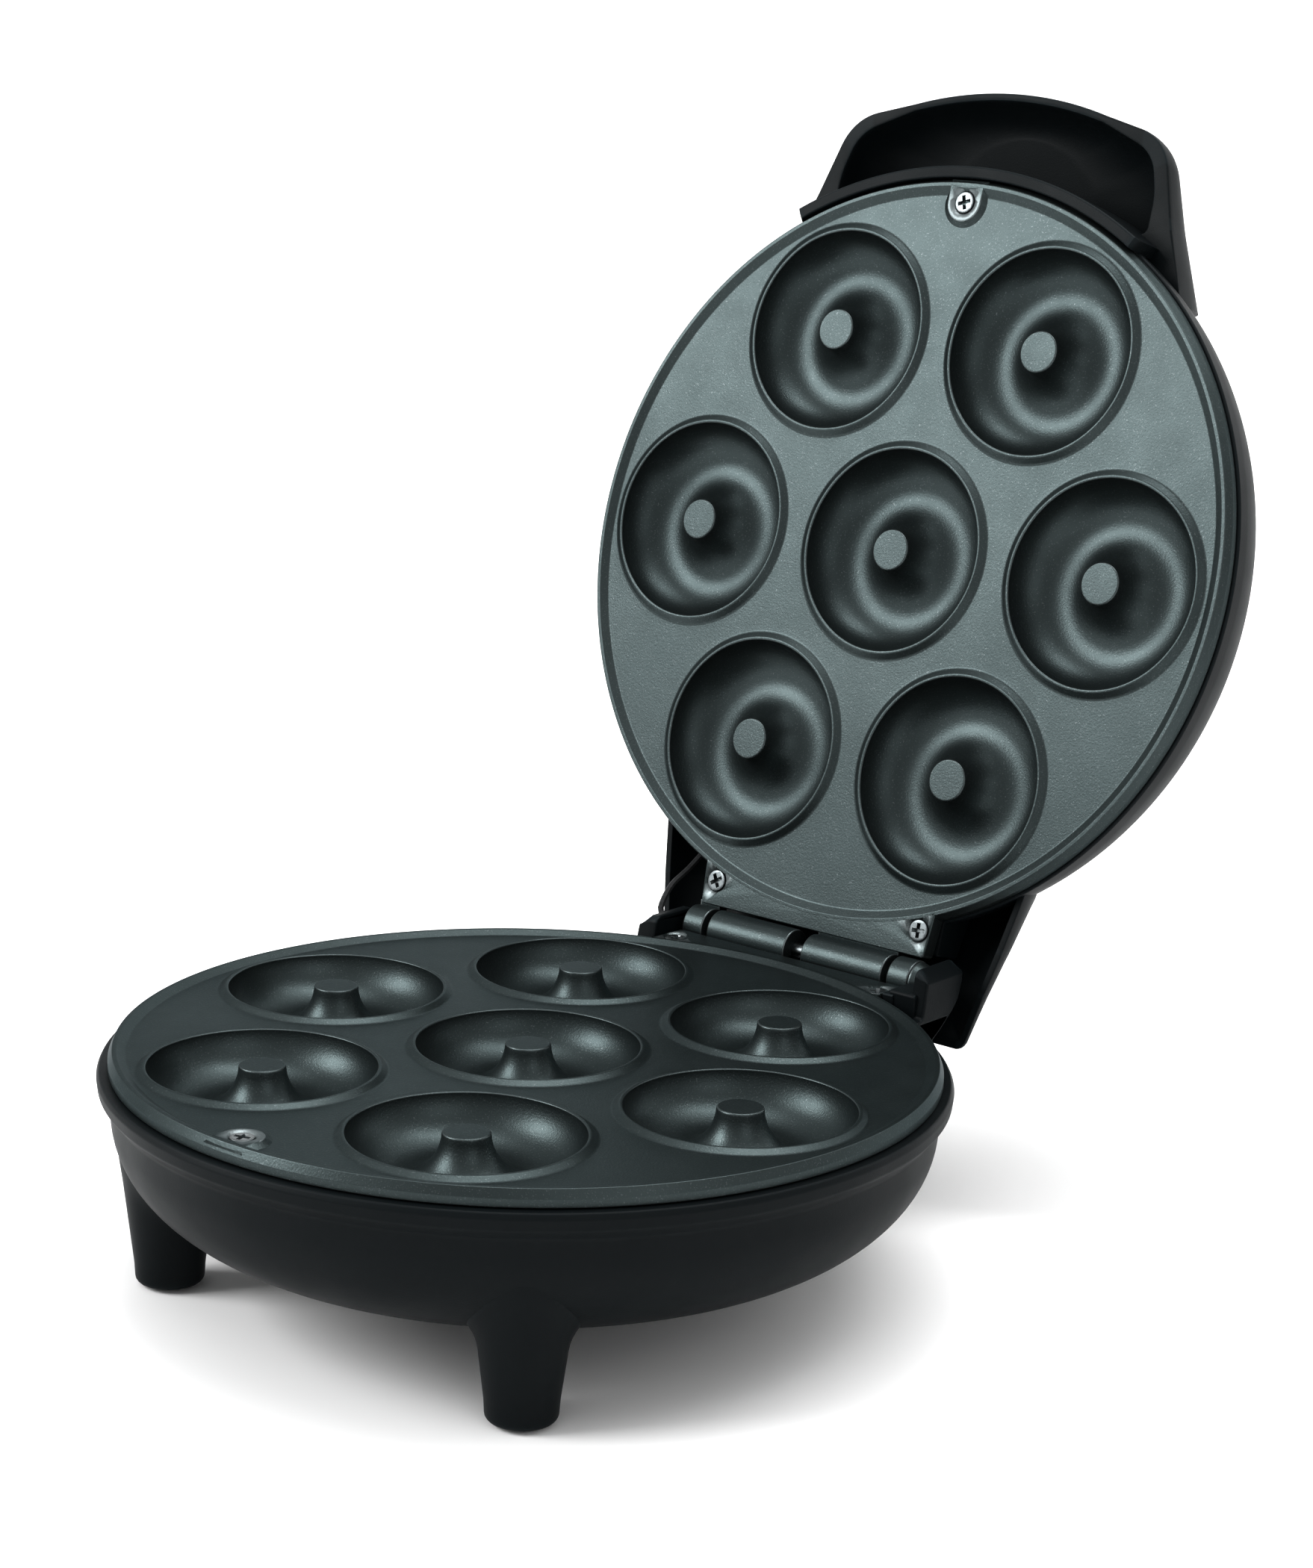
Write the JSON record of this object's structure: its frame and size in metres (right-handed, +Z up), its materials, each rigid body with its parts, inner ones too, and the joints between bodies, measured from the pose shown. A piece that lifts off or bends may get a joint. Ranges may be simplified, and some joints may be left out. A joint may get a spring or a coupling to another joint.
{
  "type": "donut maker",
  "caption": "Round hinged donut maker, lid open: dark non-stick cooking plates with ring moulds in black plastic casings on short legs, with a hooded front handle on the lid.",
  "frame": {"origin": "middle of the bounding box, on the surface the feet stand on, with the lid open", "axes": "+Z up, +Y towards the hinge at the back, so the handle side of the base faces -Y; +X is to the right seen from the front"},
  "size_m": [0.22, 0.3242, 0.3027],
  "materials": {
    "black_plastic": "satin, fine moulded grain",
    "non_stick": "dark grey non-stick coating, fine speckle",
    "steel": "bright zinc-plated steel",
    "heater_sheath": "oxidised steel sheath",
    "pan_sheet": "aluminised sheet",
    "fuse_can": "plain can",
    "ceramic": "unglazed",
    "lead_sleeve": "woven glass-fibre sleeve",
    "rubber": "matte",
    "red_lens": "clear red",
    "green_lens": "clear green",
    "lamp_glass": "clear"
  },
  "bodies": {
    "base": {"base_casing": "black_plastic", "cord_gland": "rubber", "foot_pad_1": "rubber", "foot_pad_2": "rubber", "foot_pad_3": "rubber", "foot_pad_4": "rubber", "heater_lead_live": "lead_sleeve", "heater_lead_neutral": "lead_sleeve", "hinge_pin": "steel", "lid_lead_lower": "lead_sleeve", "lower_clip_screw_1": "steel", "lower_clip_screw_2": "steel", "lower_clip_screw_3": "steel", "lower_heater": "heater_sheath", "lower_heater_clip_1": "pan_sheet", "lower_heater_clip_2": "pan_sheet", "lower_heater_clip_3": "pan_sheet", "lower_plate": "non_stick", "lower_plate_screw_front": "steel", "lower_plate_screw_left": "steel", "lower_plate_screw_right": "steel", "lower_reflector": "pan_sheet", "mains_lead_live": "lead_sleeve", "mains_lead_neutral": "lead_sleeve", "terminal_block": "ceramic", "thermal_fuse": "fuse_can", "thermostat": "ceramic"},
    "lid": {"handle": "black_plastic", "handle_screw_left": "steel", "handle_screw_right": "steel", "lamp_lead": "lead_sleeve", "lid_casing": "black_plastic", "lid_lead_upper": "lead_sleeve", "power_lamp": "lamp_glass", "power_lens": "red_lens", "ready_lamp": "lamp_glass", "ready_lens": "green_lens", "upper_clip_screw_1": "steel", "upper_clip_screw_2": "steel", "upper_clip_screw_3": "steel", "upper_heater": "heater_sheath", "upper_heater_clip_1": "pan_sheet", "upper_heater_clip_2": "pan_sheet", "upper_heater_clip_3": "pan_sheet", "upper_plate": "non_stick", "upper_plate_screw_front": "steel", "upper_plate_screw_left": "steel", "upper_plate_screw_right": "steel", "upper_reflector": "pan_sheet"}
  },
  "joints": [
    {"name": "lid_hinge", "type": "hinge", "parent": "base", "child": "lid", "pos_m": [0, 0.06457, 0.0639], "axis": [1, 0, 0], "range_deg": [0, 105.9]}
  ]
}
